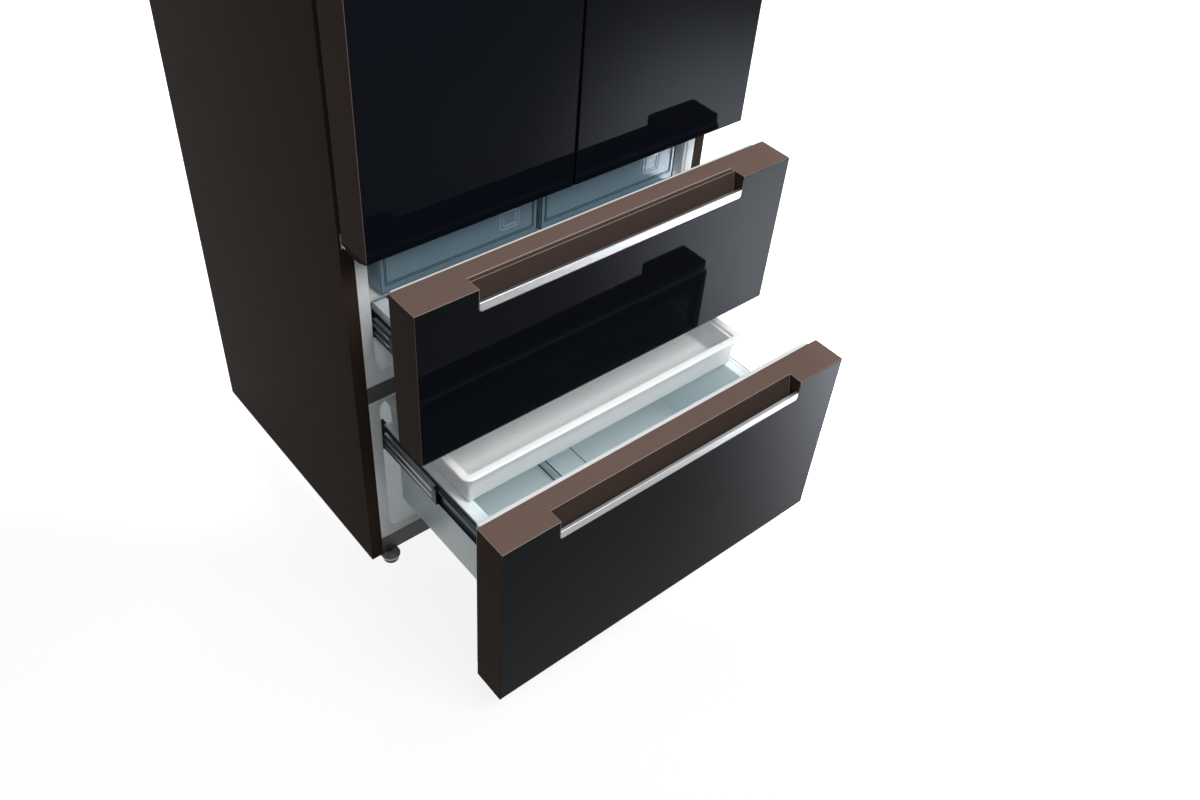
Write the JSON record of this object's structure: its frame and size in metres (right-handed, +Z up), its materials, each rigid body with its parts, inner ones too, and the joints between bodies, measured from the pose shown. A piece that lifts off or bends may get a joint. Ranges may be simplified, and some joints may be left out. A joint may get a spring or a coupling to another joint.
{
  "type": "multi-door refrigerator",
  "caption": "Tall refrigerator with hinged upper doors over pull-out freezer drawers with recessed grips, baskets, telescopic rails and its cooling unit behind.",
  "frame": {"origin": "centre of the whole object's box at the floor, with the drawers open as pictured", "axes": "+X to the viewer's right, +Y from the front to the rear, +Z up"},
  "size_m": [0.833, 1.09, 1.83],
  "materials": {
    "cabinet_paint": "brown satin paint",
    "back_sheet": "grey coated sheet",
    "foam": "rigid foam",
    "liner_white": "moulded white",
    "mullion_grey": "dark grey",
    "bar_black": "black",
    "zinc_sheet": "zinc coated",
    "cover_grey": "grey coated sheet",
    "compressor_black": "black enamel",
    "coil_black": "black tube",
    "black_plastic": "moulded black",
    "tray_grey": "moulded grey",
    "coil_aluminium": "bare fins",
    "shelf_glass": "clear",
    "lamp_lens": "frosted lens",
    "hinge_steel": "pressed steel",
    "cover_dark": "moulded dark brown",
    "rail_steel": "zinc coated",
    "flap_white": "moulded",
    "tray_white": "milky white",
    "bin_blue": "clear blue plastic",
    "crisper_clear": "clear plastic",
    "fan_white": "moulded",
    "wheel_black": "nylon wheels",
    "foot_dark": "dark moulded",
    "front_frame_brown": "brown satin paint",
    "door_glass_black": "back-painted black glass",
    "seal_grey": "soft grey",
    "door_bin_clear": "clear plastic",
    "front_glass_grey": "back-painted black glass",
    "trim_silver": "brushed",
    "basket_white": "milky blue-white"
  },
  "bodies": {
    "cabinet": {"cabinet_shell": "cabinet_paint", "back_panel": "back_sheet", "insulation": "foam", "fridge_liner": "liner_white", "middle_liner": "liner_white", "lower_liner": "liner_white", "mullions": "mullion_grey", "bottom_bar": "bar_black", "base_plate": "zinc_sheet", "machine_cover": "cover_grey", "compressor": "compressor_black", "condenser": "coil_black", "fan_bracket": "black_plastic", "drip_tray": "tray_grey", "power_inlet": "black_plastic", "evaporator": "coil_aluminium", "evaporator_cover": "liner_white", "air_duct": "liner_white", "glass_shelves": "shelf_glass", "interior_lamp": "lamp_lens", "hinge_brackets": "hinge_steel", "hinge_covers": "cover_dark", "outer_rails": "rail_steel"},
    "left_door": {"left_door_frame": "front_frame_brown", "left_door_glass": "door_glass_black", "left_door_liner": "liner_white", "left_door_seal": "seal_grey", "left_door_bins": "door_bin_clear"},
    "right_door": {"right_door_frame": "front_frame_brown", "right_door_glass": "door_glass_black", "right_door_liner": "liner_white", "right_door_seal": "seal_grey", "right_door_bins": "door_bin_clear"},
    "flap": {"mullion_flap": "flap_white"},
    "middle_drawer": {"middle_front_frame": "front_frame_brown", "middle_front_glass": "front_glass_grey", "middle_grip_trim": "trim_silver", "middle_inner_panel": "liner_white", "middle_seal": "seal_grey", "middle_basket": "basket_white", "middle_inner_rails": "rail_steel"},
    "lower_drawer": {"lower_front_frame": "front_frame_brown", "lower_front_glass": "front_glass_grey", "lower_grip_trim": "trim_silver", "lower_inner_panel": "liner_white", "lower_seal": "seal_grey", "lower_basket": "basket_white", "lower_inner_rails": "rail_steel"},
    "middle_slides": {"middle_slide_members": "rail_steel"},
    "lower_slides": {"lower_slide_members": "rail_steel"},
    "tray": {"freezer_tray": "tray_white"},
    "left_bin": {"left_bin": "bin_blue"},
    "right_bin": {"right_bin": "bin_blue"},
    "left_crisper": {"left_crisper": "crisper_clear"},
    "right_crisper": {"right_crisper": "crisper_clear"},
    "evaporator_fan": {"evaporator_fan": "fan_white"},
    "condenser_fan": {"condenser_fan": "black_plastic"},
    "wheelset": {"rear_wheelset": "wheel_black"},
    "left_foot": {"left_foot": "foot_dark"},
    "right_foot": {"right_foot": "foot_dark"}
  },
  "joints": [
    {"name": "left_door_hinge", "type": "hinge", "parent": "cabinet", "child": "left_door", "pos_m": [-0.4025, -0.15, 0.838], "axis": [0, 0, -1], "range_deg": [0, 115]},
    {"name": "right_door_hinge", "type": "hinge", "parent": "cabinet", "child": "right_door", "pos_m": [0.4025, -0.15, 0.838], "axis": [0, 0, 1], "range_deg": [0, 115]},
    {"name": "flap_fold", "type": "hinge", "parent": "left_door", "child": "flap", "pos_m": [-0.04, -0.0827, 1.32], "axis": [0, 0, -1], "range_deg": [0, 90]},
    {"name": "middle_drawer_slide", "type": "slide", "parent": "cabinet", "child": "middle_drawer", "axis": [0, -1, 0], "range_m": [-0.133, 0.27]},
    {"name": "middle_members_slide", "type": "slide", "parent": "cabinet", "child": "middle_slides", "axis": [0, -1, 0], "range_m": [-0.0665, 0.135]},
    {"name": "lower_drawer_slide", "type": "slide", "parent": "cabinet", "child": "lower_drawer", "axis": [0, -1, 0], "range_m": [-0.365, 0.085]},
    {"name": "lower_members_slide", "type": "slide", "parent": "cabinet", "child": "lower_slides", "axis": [0, -1, 0], "range_m": [-0.1825, 0.0425]},
    {"name": "tray_slide", "type": "slide", "parent": "lower_drawer", "child": "tray", "axis": [0, -1, 0], "range_m": [-0.02, 0.105]},
    {"name": "left_bin_slide", "type": "slide", "parent": "cabinet", "child": "left_bin", "axis": [0, -1, 0], "range_m": [0, 0.12]},
    {"name": "right_bin_slide", "type": "slide", "parent": "cabinet", "child": "right_bin", "axis": [0, -1, 0], "range_m": [0, 0.12]},
    {"name": "left_crisper_slide", "type": "slide", "parent": "cabinet", "child": "left_crisper", "axis": [0, -1, 0], "range_m": [0, 0.05]},
    {"name": "right_crisper_slide", "type": "slide", "parent": "cabinet", "child": "right_crisper", "axis": [0, -1, 0], "range_m": [0, 0.1]},
    {"name": "evaporator_fan_spin", "type": "hinge", "parent": "cabinet", "child": "evaporator_fan", "pos_m": [0, 0.353, 0.727], "axis": [0, -1, 0], "continuous": true},
    {"name": "condenser_fan_spin", "type": "hinge", "parent": "cabinet", "child": "condenser_fan", "pos_m": [-0.062, 0.4, 0.15], "axis": [0, 1, 0], "continuous": true},
    {"name": "wheelset_spin", "type": "hinge", "parent": "cabinet", "child": "wheelset", "pos_m": [0, 0.49, 0.02], "axis": [1, 0, 0], "continuous": true},
    {"name": "left_foot_turn", "type": "hinge", "parent": "cabinet", "child": "left_foot", "pos_m": [-0.3755, -0.098, 0.008], "axis": [0, 0, 1], "continuous": true},
    {"name": "right_foot_turn", "type": "hinge", "parent": "cabinet", "child": "right_foot", "pos_m": [0.3755, -0.098, 0.008], "axis": [0, 0, 1], "continuous": true}
  ],
  "couplings": [
    {"joint": "middle_members_slide", "follows": "middle_drawer_slide", "ratio": 0.5},
    {"joint": "lower_members_slide", "follows": "lower_drawer_slide", "ratio": 0.5}
  ]
}
